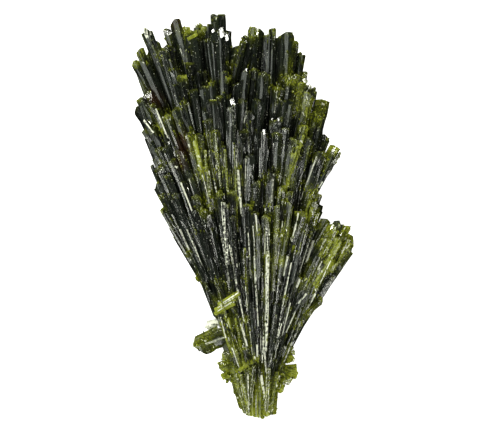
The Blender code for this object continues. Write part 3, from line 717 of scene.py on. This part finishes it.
def shaft(length, width, thickness, chances, columns, groove, ring, foot_share, even):
    """A grooved six-sided shaft that hangs down from the origin, with a level top."""
    mesh = bmesh.new()
    for layer in Growth.READ:
        mesh.verts.layers.float.new(layer)
    mesh.loops.layers.uv.new("grain")
    bmesh.ops.create_cone(
        mesh,
        cap_ends=True,
        segments=columns,
        radius1=foot_share,
        radius2=1.0,
        depth=length,
        matrix=Matrix.Translation((0, 0, -length / 2)),
    )
    shift = [0.0 if even else chances.uniform(-CORNER_SHIFT, CORNER_SHIFT) for _ in range(columns)]
    depth = [groove * chances.random() ** 2 for _ in range(columns)]
    seam = chances.random() * SEAMS
    for v in mesh.verts:
        share = Vector((v.co.x, v.co.y)).length
        column = column_at(v.co, columns) % columns
        turn = (column + shift[column]) / columns * math.tau
        out = hexagon(turn) * (1 - depth[column]) * share
        v.co.x = out * math.cos(turn) * width / 2
        v.co.y = out * math.sin(turn) * thickness / 2
    lay_grain(mesh, columns, seam, math.pi * width)
    rings = int(length / ring)
    if rings:
        sides = [e for e in mesh.edges if abs(e.verts[0].co.z - e.verts[1].co.z) > length / 2]
        bmesh.ops.subdivide_edges(mesh, edges=sides, cuts=rings, use_grid_fill=True)
    for v in mesh.verts:
        swell = 1 + UNEVEN * noise.noise(Vector((v.co.x, v.co.y, seam + v.co.z * SWELLS)))
        v.co.x *= swell
        v.co.y *= swell
    return mesh


def cut_end(mesh, width, chances, ends, slopes):
    """Cuts the top of a shaft into sloping end faces that meet on a ridge."""
    ridge = Vector((chances.uniform(-RIDGE, RIDGE) * width, 0, 0))
    for n in range(ends):
        turn = math.tau * n / ends + chances.uniform(-TWIST, TWIST)
        slope = math.radians(chances.uniform(*slopes))
        out = math.sin(slope)
        cut(mesh, ridge, Vector((out * math.cos(turn), out * math.sin(turn), math.cos(slope))))


def crystal(tip, foot, width, thickness, roll, chances, columns=8, groove=0.08, ring=1.6, ends=2,
            slopes=(8, 44), pale_and_sheen=0.0, green=0.0, tone=None, foot_share=FOOT_SHARE, facet=None,
            even=False):
    """A shaft from foot to tip with a cut end and its colours' strengths, in its own bmesh."""
    axis = tip - foot
    mesh = shaft(axis.length, width, thickness, chances, columns, groove, ring, foot_share, even)
    cut_end(mesh, width, chances, ends, slopes)
    tone = chances.random() if tone is None else tone
    glow = chances.choice(TIP_GLOWS)
    own = chances.uniform(*OWN_GREEN)
    kept = {name: mesh.verts.layers.float[name] for name in Growth.READ}
    # How far down from the tip a point lies, in lengths of the tip's painted glow.
    for v in mesh.verts:
        v[kept["tip"]] = -v.co.z / glow
    turned = axis.to_track_quat("Z", "Y").to_matrix().to_4x4()
    place = Matrix.Translation(tip) @ turned @ Matrix.Rotation(roll, 4, "Z")
    bmesh.ops.transform(mesh, matrix=place, verts=mesh.verts)
    if facet is not None:
        cut(mesh, tip, facet)
    side = sideways(axis)
    for v in mesh.verts:
        away = (v.co - tip).dot(side) / (width / 2)
        # How far to the side a point lies; the material paints a glow there.
        v[kept["rim"]] = min(1.0, abs(away))
        v[kept["tone"]] = tone
        v[kept["pale_and_sheen"]] = pale_and_sheen
        v[kept["green"]] = strength_at(GREEN_ZONES, v.co) * own + green
        v[kept["rust"]] = strength_at(RUST_ZONES, v.co)
    bmesh.ops.recalc_face_normals(mesh, faces=mesh.faces)
    return mesh


def mirror_normal(point, lamp):
    """The normal of a face at a point, mm, that shows the camera a lamp."""
    there = point * MM
    return ((Vector(lamp) - there).normalized() + (EYE - there).normalized()).normalized()


def upward_facet(axis, chances):
    """The normal of an end face that slopes up to the front of the cluster."""
    side = sideways(axis)
    tilt = math.radians(chances.uniform(*FACET_TILT))
    rising = axis * math.cos(tilt) + side.cross(axis) * math.sin(tilt)
    return rising + side * chances.uniform(-0.2, 0.2)


def fan_axis(x, y, lean, height):
    """The direction of a fan crystal: it points away from the root, so high tips rise steeply."""
    run = math.hypot(x - ROOT.x, y - ROOT.y)
    return heading(math.radians(lean), math.atan2(height - ROOT.z, run))


def bundle(growth, laths, tip, axis, length, width, chances, most_laths):
    """One shaft and the parallel laths grown along its upper faces."""
    thickness = width * chances.uniform(*THICKNESS)
    roll = math.radians(chances.uniform(*ROLLS))
    facet = upward_facet(axis, chances) if chances.random() < FACETED else None
    columns = chances.choice(COLUMNS)
    foot = tip - axis * length
    growth.add(crystal(tip, foot, width, thickness, roll, chances, columns=columns, facet=facet))
    side = sideways(axis)
    up = side.cross(axis)
    for _ in range(chances.randint(most_laths // 2, most_laths)):
        turn = chances.uniform(-0.1, 1.1) * math.pi
        out = side * math.cos(turn) * width + up * math.sin(turn) * thickness
        away = out * chances.uniform(0.3, 0.45)
        drop = chances.choice(LATH_DROPS) * chances.uniform(0.4, 1.2)
        start = tip - axis * drop + away
        stray = (side * chances.uniform(-1, 1) + up * chances.uniform(-1, 1)) * LATH_STRAY
        run = min(length - drop, chances.uniform(*LATH_RUN))
        size = width * chances.uniform(*LATH_WIDTH)
        laths.add(
            crystal(start, start - (axis + stray) * run, size, size * chances.uniform(0.6, 1.0),
                    chances.uniform(-0.6, 0.6), chances, foot_share=0.8, **THIN)
        )


def fan(growth, laths, chances):
    """The crystals of the photo, each with the tip and the lean of its row."""
    for x, y, lean, length, width, height in ROWS:
        if height > SHOULDER:
            height = SHOULDER + (height - SHOULDER) * DRAWN_IN
        tip = Vector((x, y, height))
        axis = fan_axis(x, y, lean, tip.z)
        bundle(growth, laths, tip, axis, length, width * FULLER, chances, FAN_LATHS)


def layers(growth, laths, chances):
    """The wide crystals behind the rows, which the cluster lies on."""
    for layer in LAYERS:
        low, high = layer["leans"]
        for n in range(layer["count"]):
            lean = low + (high - low) * n / (layer["count"] - 1)
            flat = heading(math.radians(lean))
            tip = ROOT + flat * (reach_at(lean) - chances.uniform(*layer["inset"]))
            tip.z = chances.uniform(*layer["tip"])
            foot = ROOT + flat * LAYER_START
            foot.z = layer["foot"]
            run = tip - foot
            width = chances.uniform(*layer["width"])
            bundle(growth, laths, tip, run.normalized(), run.length, width, chances, BACK_LATHS)


def crossing(growth, chances, rows, **shape):
    """Crystals with their own ends in space."""
    for *ends, width, green, pale_and_sheen in rows:
        tip = Vector(ends[:3])
        foot = Vector(ends[3:])
        growth.add(
            crystal(tip, foot, width, width * 0.7, 0.3, chances, green=green, pale_and_sheen=pale_and_sheen, **shape)
        )


def stem(growth, chances):
    """The bundle of feet in the stem, which ends in the break where the spray came off its rock."""
    for n in range(RIM_FEET * 2):
        turn = math.tau * n / RIM_FEET
        share = chances.uniform(0.75, 1.05) if n < RIM_FEET else chances.uniform(0.1, 0.7)
        offset = Vector((math.cos(turn), 0, math.sin(turn))) * (STEM_RADIUS * share)
        broken = 1.4 - abs(offset.x) * 0.3 - chances.uniform(0.0, 0.4)
        start = ROOT + offset - Vector((0, broken, 0))
        end = ROOT + Vector((offset.x * 1.6, STEM_RUN, offset.z))
        width = chances.uniform(*STEM_WIDTH)
        roll = chances.uniform(0, 1)
        growth.add(crystal(start, end, width, width, roll, chances, columns=10, green=STEM_GREEN))


def lumps(growth, chances):
    """Round knots of short green crystals beside the stem."""
    for x, y, z, radius, count in LUMPS:
        middle = Vector((x, y, z))
        for _ in range(count):
            out = Vector((chances.gauss(0, 1), chances.gauss(0, 1), chances.gauss(0.4, 1)))
            width = chances.uniform(0.7, 1.3)
            tip = middle + out.normalized() * radius * chances.uniform(0.75, 1.0)
            growth.add(
                crystal(tip, middle, width, width * 0.8, 0.0, chances,
                        green=chances.uniform(0.0, 0.6), **SHORT)
            )


def plates(growth, surface, chances, rows, overhang):
    """Broad striated crystals that lie on the others. The darkest aren't turned on their axis."""
    for x0, y0, x1, y1, width, green, pale_and_sheen in rows:
        start = Vector((x0, y0, 0))
        stop = Vector((x1, y1, 0))
        ends = along_surface(surface, start, stop, width * 0.2, overhang)
        if ends:
            roll = 0.0 if green < 0 else chances.uniform(-0.4, 0.4)
            growth.add(
                crystal(*ends, width, width * 0.7, roll, chances, columns=10, groove=0.12,
                        green=green, pale_and_sheen=pale_and_sheen, foot_share=0.75)
            )


def along_surface(surface, start, stop, lift, overhang=OVERHANG):
    """The ends of a line over start and stop that lies on the grown crystals, nearly along them."""
    shares = [n / PROBES for n in range(PROBES + 1)]
    seen = [(share, surface.under(*start.lerp(stop, share).xy)) for share in shares]
    if any(found is None for _, found in seen):
        return None
    high = seen[0][1][0].z
    low = seen[-1][1][0].z
    run = (stop - start).length
    fan_fall = (high - ROOT.z) * run / max((start - ROOT).xy.length, STEM_REACH)
    fall = min(max(high - low, fan_fall - run * SLANT), fan_fall + run * SLANT)
    touched = sorted(found[0].z + fall * share for share, found in seen)[-2]
    resting = [share for share, found in seen if touched - fall * share - found[0].z < overhang]
    ends = []
    for share in (resting[0], resting[-1]):
        x, y = start.lerp(stop, share).xy
        ends.append(Vector((x, y, touched + lift - fall * share)))
    return ends


def sheen_laths(growth, surface, chances):
    """Thin crystals that lie along the others, painted whitish as highlight streaks."""
    for x0, y0, x1, y1, width, pale_and_sheen in SHEEN_LATHS:
        ends = along_surface(surface, Vector((x0, y0, 0)), Vector((x1, y1, 0)), width * 0.3)
        if ends:
            growth.add(
                crystal(*ends, width, width, 0.5, chances, pale_and_sheen=pale_and_sheen, tone=1.0, foot_share=0.7,
                        **THIN)
            )


def fine_laths(growth, surface, chances):
    """Thin long crystals that run down the narrow part of the fan towards the stem."""
    for _ in range(FINE_LATHS):
        lean = math.radians(chances.uniform(*FINE_LEANS))
        start = ROOT + heading(lean) * chances.uniform(*FINE_REACH)
        stop = start - heading(lean + chances.gauss(0, 0.02)) * chances.uniform(*FINE_RUN)
        width = chances.uniform(*FINE_WIDTH)
        ends = along_surface(surface, start, stop, width * 0.25)
        if ends and stop.y > ROOT.y + 4:
            pale_and_sheen = chances.choice(FINE_PAINTED_SHEEN)
            growth.add(
                crystal(*ends, width, width, chances.uniform(0, 1), chances, pale_and_sheen=pale_and_sheen,
                        foot_share=0.7, **THIN)
            )


def glints(growth, surface, chances):
    """Short crystals whose end face shows the camera the lamp beyond the tips."""
    for x, y, lean, width in GLINTS:
        found = surface.under(x, y)
        tip = Vector((x, y, (found[0].z if found else ROOT.z) + width * 0.4))
        axis = fan_axis(x, y, lean, tip.z)
        mesh = crystal(tip + axis * width, tip - axis * width * 4, width, width * 0.9, 0.3, chances,
                       columns=6, even=True, groove=0.0, ends=0)
        cut(mesh, tip, mirror_normal(tip, LAMPS["tips"][0]))
        bmesh.ops.recalc_face_normals(mesh, faces=mesh.faces)
        growth.add(mesh)


class Surface:
    """The grown crystals seen from above, so that small ones can be set on them."""

    ABOVE = 60  # a height, in millimetres, over all crystals
    DOWN = Vector((0, 0, -1))

    def __init__(self, *growths):
        self.trees = [BVHTree.FromBMesh(growth.mesh) for growth in growths]

    def under(self, x, y):
        """The highest point at x, y and its normal, or None beside the cluster."""
        best = None
        for tree in self.trees:
            point, normal, _, _ = tree.ray_cast(Vector((x, y, self.ABOVE)), self.DOWN)
            if point is not None and (best is None or point.z > best[0].z):
                best = point, normal
        return best


def small_crystals(growth, surface, chances):
    """Thin crystals that grew on the others, nearly along them."""
    made = 0
    while made < SMALL_CRYSTALS:
        lean = chances.uniform(*SMALL_LEANS)
        spot = ROOT + heading(math.radians(lean)) * (reach_at(lean) * chances.uniform(0.25, 0.97))
        found = surface.under(spot.x, spot.y)
        if not found:
            continue
        made += 1
        width = chances.uniform(*SMALL_WIDTH)
        tip = found[0] + Vector((0, 0, chances.uniform(-0.1, 0.3)))
        stray = Vector((chances.gauss(0, 0.04), chances.gauss(0, 0.03), chances.gauss(0, 0.03)))
        axis = ((tip - ROOT).normalized() + stray).normalized()
        foot = tip - axis * chances.uniform(*SMALL_RUN)
        if surface.under(foot.x, foot.y):
            growth.add(
                crystal(tip, foot, width, width * 0.8, chances.uniform(-1, 1), chances, **THIN)
            )


def druse(growth, surface, chances):
    """Short green crystals crowded where the cluster is green."""
    made = 0
    tries = 0
    while made < DRUSE_CRYSTALS and tries < DRUSE_TRIES * DRUSE_CRYSTALS:
        tries += 1
        x, y, radius, strength = chances.choice(GREEN_ZONES)
        if chances.random() > strength * radius**2 / 4:
            continue
        x += chances.gauss(0, radius * 0.5)
        y += chances.gauss(0, radius * 0.5)
        found = surface.under(x, y)
        if not found:
            continue
        made += 1
        point, normal = found
        outward = (point - ROOT).normalized()
        wild = Vector((chances.gauss(0, 1), chances.gauss(0, 1), chances.gauss(0, 1))).normalized()
        axis = (normal * 0.4 + outward * 1.3 + wild * 0.5).normalized()
        size = chances.uniform(*DRUSE_WIDTH)
        run = size * chances.uniform(1.0, 2.4)
        tip = point + axis * run * 0.5
        growth.add(
            crystal(tip, tip - axis * run, size, size * 0.8, chances.uniform(-1, 1), chances,
                    green=chances.uniform(-0.1, 0.45), foot_share=0.9,
                    pale_and_sheen=chances.choice(DRUSE_PAINTED_GLINTS), **SHORT)
        )


class Wire:
    """An output of a material's nodes. Arithmetic on it adds Math nodes."""

    def __init__(self, tree, socket):
        self.tree = tree
        self.socket = socket

    def math(self, operation, *values, clamp=False):
        """A Math node that works on these values."""
        node = self.tree.nodes.new("ShaderNodeMath")
        node.operation = operation
        node.use_clamp = clamp
        for slot, value in zip(node.inputs, values):
            feed(self.tree, slot, value)
        return Wire(self.tree, node.outputs[0])

    def __add__(self, other):
        return self.math("ADD", self, other)

    def __radd__(self, other):
        return self.math("ADD", other, self)

    def __sub__(self, other):
        return self.math("SUBTRACT", self, other)

    def __rsub__(self, other):
        return self.math("SUBTRACT", other, self)

    def __mul__(self, other):
        return self.math("MULTIPLY", self, other)

    def __rmul__(self, other):
        return self.math("MULTIPLY", other, self)

    def clamped(self):
        """The same, kept between 0 and 1."""
        return self.math("ADD", self, 0.0, clamp=True)

    def step(self, low, high):
        """0 below low, 1 above high, and smooth between."""
        node = self.tree.nodes.new("ShaderNodeMapRange")
        node.interpolation_type = "SMOOTHSTEP"
        for name, value in (("Value", self), ("From Min", low), ("From Max", high)):
            feed(self.tree, node.inputs[name], value)
        return Wire(self.tree, node.outputs["Result"])


def feed(tree, slot, value):
    """Links a wire to a socket, or sets the socket to a plain value."""
    if isinstance(value, Wire):
        tree.links.new(value.socket, slot)
    else:
        slot.default_value = value


class Finish:
    """A material whose nodes are made one call at a time."""

    def __init__(self, name):
        self.material = bpy.data.materials.new(name)
        self.material.use_nodes = True
        self.tree = self.material.node_tree
        self.shader = self.tree.nodes["Principled BSDF"]

    def node(self, kind, output, settings=(), **sockets):
        """Any node: its settings go first, then its sockets' values or links."""
        node = self.tree.nodes.new("ShaderNode" + kind)
        for name, value in dict(settings).items():
            setattr(node, name, value)
        for name, value in sockets.items():
            feed(self.tree, node.inputs[name.replace("_", " ")], value)
        return Wire(self.tree, node.outputs[output])

    def reads(self, name):
        """What a Growth keeps at each point under this name."""
        return self.node("Attribute", "Fac", {"attribute_name": name})

    def joined(self, x, y, z):
        """A vector from its three parts."""
        return self.node("CombineXYZ", "Vector", X=x, Y=y, Z=z)

    def split(self, vector, axis):
        """One part of a vector."""
        return self.node("SeparateXYZ", axis, Vector=vector)

    def noise(self, vector, scale, detail):
        """Cloudy noise about 0.5."""
        return self.node("TexNoise", "Fac", Vector=vector, Scale=scale, Detail=detail)

    def mix(self, factor, first, second):
        """Colours mixed by a factor."""
        node = self.tree.nodes.new("ShaderNodeMix")
        node.data_type = "RGBA"
        for index, value in ((0, factor), (6, first), (7, second)):
            feed(self.tree, node.inputs[index], value)
        return Wire(self.tree, node.outputs[2])

    def lay_over(self, factor, shader):
        """Mixes another shader into the main one."""
        node = self.tree.nodes.new("ShaderNodeMixShader")
        for index, value in enumerate((factor, Wire(self.tree, self.shader.outputs[0]), shader)):
            feed(self.tree, node.inputs[index], value)
        self.tree.links.new(node.outputs[0], self.tree.nodes["Material Output"].inputs["Surface"])

    def sets(self, **sockets):
        """Values or links of the main shader."""
        for name, value in sockets.items():
            feed(self.tree, self.shader.inputs[name.replace("_", " ")], value)


def colour(red, green, blue):
    """A colour as a socket takes it."""
    return (red, green, blue, 1.0)


NEAR_BLACK = colour(0.003, 0.0042, 0.003)
GREY_GREEN = colour(0.044, 0.058, 0.041)
DEEP_OLIVE = colour(0.024, 0.032, 0.002)
LEAF_GREEN = colour(0.17, 0.20, 0.013)
YELLOW_GREEN = colour(0.52, 0.58, 0.055)
# Milk-white of the whitish crystals and of the painted highlights and glints.
MILKY_AND_SHEEN = colour(0.97, 0.98, 0.82)
RUST = colour(0.10, 0.03, 0.008)
PAPER = colour(0.9, 0.9, 0.9)
DIM_ROOM = colour(0.012, 0.014, 0.011)
EPIDOTE_IOR = 1.75
GROOVE_DEPTH = 0.00008  # metres
PAPER_REACH = 1.5  # metres from its middle to its sides

# Patterns along a shaft: how many to a millimetre across it and along it, how far apart the
# patterns of two crystals lie, and detail.
STREAKS = (2.2, 0.10, 40.0, 2.0)
FINE_LINES = (5.0, 0.14, 40.0, 1.0)
DRIFT = (0.9, 0.30, 90.0, 2.0)
SPECKS = (2200.0, 3.0)  # how many to a metre, and detail
# The painted glints: how many to a metre, and detail.
PAINTED_GLINT_SPECKS = (3200.0, 0.0)


def epidote():
    """Glossy crystal: near black along its shafts, part see-through green where it is thin, with a
    painted glow at its tips and sides, and milk-white painted highlights and glints.
    """
    look = Finish("epidote")
    place = look.node("TexCoord", "Object")
    grain = look.node("UVMap", "UV", {"uv_map": "grain"})
    tip, green, tone, pale_and_sheen, rim, rust = (look.reads(name) for name in Growth.READ)
    across = look.split(grain, "X")
    along = look.split(grain, "Y")

    def lengthwise(across_rate, along_rate, apart, detail):
        """A pattern stretched along the shafts, another on each crystal."""
        spot = look.joined(across * across_rate, along * along_rate, tone * apart)
        return look.noise(spot, 1.0, detail)

    streaks = lengthwise(*STREAKS)
    fine = lengthwise(*FINE_LINES)
    drift = lengthwise(*DRIFT)
    specks = look.noise(place, *SPECKS)
    # Painted glints: scattered specks of milk-white standing for light flashing from tiny faces.
    painted_glints = look.noise(place, *PAINTED_GLINT_SPECKS).step(0.74, 0.80) * drift.step(0.5, 0.6)
    # Painted glow: the tips lighter and greener, as if lit from behind, over their own green.
    tip_glow = 1.0 - tip.step(0.0, 1.0)
    # Painted glow along the thin sides of each crystal.
    painted_side_glow = rim.step(0.5, 1.0)

    # Where it is green, and how light the green and the dark parts are. The tip and side terms
    # paint a glow of light shining through the thin crystal.
    patches = (drift - 0.33) * 0.9 + (specks - 0.5) * 0.6
    mask = (green * 0.95 + patches + tip_glow * 0.3 + painted_side_glow * 0.2).step(0.2, 0.65)
    greyness = (streaks + tone * 0.6 + specks * 1.2 - 1.12).clamped()
    shaft_colour = look.mix(greyness, NEAR_BLACK, GREY_GREEN)
    lightness = (streaks * 1.6 + tip_glow * 0.3 + green * 0.3 - 0.6).clamped()
    leaf = look.mix(lightness, DEEP_OLIVE, LEAF_GREEN)
    # Yellow-green crust, lighter at the tips and sides with painted glow.
    crust = specks * 0.5 + fine * 0.4 + tip_glow * 0.14 + green * 0.22 + painted_side_glow * 0.12
    green_colour = look.mix(crust.step(0.55, 0.85), leaf, YELLOW_GREEN)
    body = look.mix(mask, shaft_colour, green_colour)
    look.sets(Base_Color=look.mix((rust * (drift + 0.4)).clamped(), body, RUST))

    roughness = (0.07 + fine * 0.20).clamped()
    look.sets(Roughness=roughness, IOR=EPIDOTE_IOR, Transmission_Weight=0.5)
    height = fine * 0.9 + streaks + specks * 0.7
    grooves = look.node("Bump", "Normal", Height=height, Strength=0.5, Distance=GROOVE_DEPTH)
    look.sets(Normal=grooves)

    # Milk-white: the whitish crystals, with painted highlights on the thin laths and druse and
    # painted glints scattered as specks.
    milky_and_sheen = look.node("BsdfPrincipled", "BSDF", Base_Color=MILKY_AND_SHEEN, Roughness=0.3, Normal=grooves)
    pale_and_sheen_mask = ((pale_and_sheen - 0.5) * 0.32 + (fine + specks) * 0.5).step(0.5, 0.6)
    look.lay_over((pale_and_sheen_mask + painted_glints * 0.5).clamped(), milky_and_sheen)
    return look.material


def white_paper():
    """Plain white paper that glows a little, so that shadows on it stay faint."""
    look = Finish("white_paper")
    look.sets(Base_Color=PAPER, Roughness=0.9)
    look.sets(Emission_Color=colour(1, 1, 1), Emission_Strength=1.0)
    return look.material


def floor():
    """The sheet of paper that the cluster lies on."""
    mesh = bmesh.new()
    bmesh.ops.create_grid(mesh, x_segments=1, y_segments=1, size=PAPER_REACH)
    data = bpy.data.meshes.new("floor")
    mesh.to_mesh(data)
    mesh.free()
    data.materials.append(white_paper())
    sheet = bpy.data.objects.new("floor", data)
    bpy.context.scene.collection.objects.link(sheet)
    sheet.visible_glossy = False


COOL = (0.93, 1.0, 0.90)
WHITE = (0.99, 1.0, 0.91)
LAMP_AIM = Vector((0, 0, 0.01))
# Lamps: place, size, power, colour. The strips are long but narrow, so only some faces show them.
LAMPS = {
    "soft_left": ((-0.40, -0.08, 0.54), (0.50, 0.60), 1.5, COOL),
    "strip_left": ((-0.30, -0.34, 0.54), (0.04, 0.50), 0.9, WHITE),
    "strip_middle": ((-0.02, -0.58, 0.47), (0.04, 0.36), 1.2, WHITE),
    "strip_right": ((0.36, -0.30, 0.42), (0.04, 0.40), 0.65, WHITE),
    "tips": ((-0.15, 0.60, 0.36), (0.16, 0.10), 2.4, WHITE),
    "overhead": ((-0.10, 0.05, 0.90), (0.80, 0.80), 3.65, WHITE),
}
UNREFLECTED = "overhead"  # the lamp that lights the colours but shows in no face


def area_light(name, place, size, power, tint):
    """A lamp that points at the cluster."""
    light = bpy.data.lights.new(name, "AREA")
    light.shape = "RECTANGLE"
    light.size, light.size_y = size
    light.energy = power
    light.color = tint
    lamp = bpy.data.objects.new(name, light)
    lamp.location = place
    lamp.rotation_euler = (LAMP_AIM - Vector(place)).to_track_quat("-Z", "Y").to_euler()
    lamp.visible_glossy = name != UNREFLECTED
    bpy.context.scene.collection.objects.link(lamp)


def studio():
    """Soft light from above and the left, strips and a lamp beyond the tips, and a dim room."""
    world = bpy.data.worlds.new("dim_room")
    bpy.context.scene.world = world
    world.use_nodes = True
    world.node_tree.nodes["Background"].inputs["Color"].default_value = DIM_ROOM
    for name, (place, size, power, tint) in LAMPS.items():
        area_light(name, place, size, power, tint)


def camera():
    """A long lens straight above the fan, which shows it as tall as the photo does."""
    data = bpy.data.cameras.new("camera")
    data.lens = LENS
    data.sensor_width = SENSOR
    eye = bpy.data.objects.new("camera", data)
    eye.location = EYE
    bpy.context.scene.collection.objects.link(eye)
    bpy.context.scene.camera = eye


def main():
    """Grows the cluster from the back to the front, and sets up what the photo shows it with."""
    chances = random.Random(SEED)
    shafts = Growth("fan_shafts")
    laths = Growth("laths")
    small = Growth("small_crystals")
    crust = Growth("druse")
    layers(shafts, laths, chances)
    stem(shafts, chances)
    lumps(crust, chances)
    fan(shafts, laths, chances)
    crossing(shafts, chances, CROSSING)
    crossing(shafts, chances, POINTED, **PYRAMID)

    # What lies on the crystals is set on all that was grown before it.
    surface = Surface(shafts, laths)
    small_crystals(small, surface, chances)
    plates(small, surface, chances, PLATES, OVERHANG)
    surface = Surface(shafts, laths, small)
    fine_laths(small, surface, chances)
    surface = Surface(shafts, laths, small)
    plates(small, surface, chances, FRONT_PLATES, CROSSING_OVERHANG)
    surface = Surface(shafts, laths, small)
    sheen_laths(small, surface, chances)
    glints(small, surface, chances)
    surface = Surface(shafts, laths, small)
    druse(crust, surface, chances)

    skin = epidote()
    for growth in (shafts, laths, small, crust):
        piece = growth.finish(skin)
        if growth is shafts:
            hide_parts("epidote_cluster")
    floor()
    studio()
    camera()
    bpy.context.scene.view_settings.view_transform = "Standard"


main()
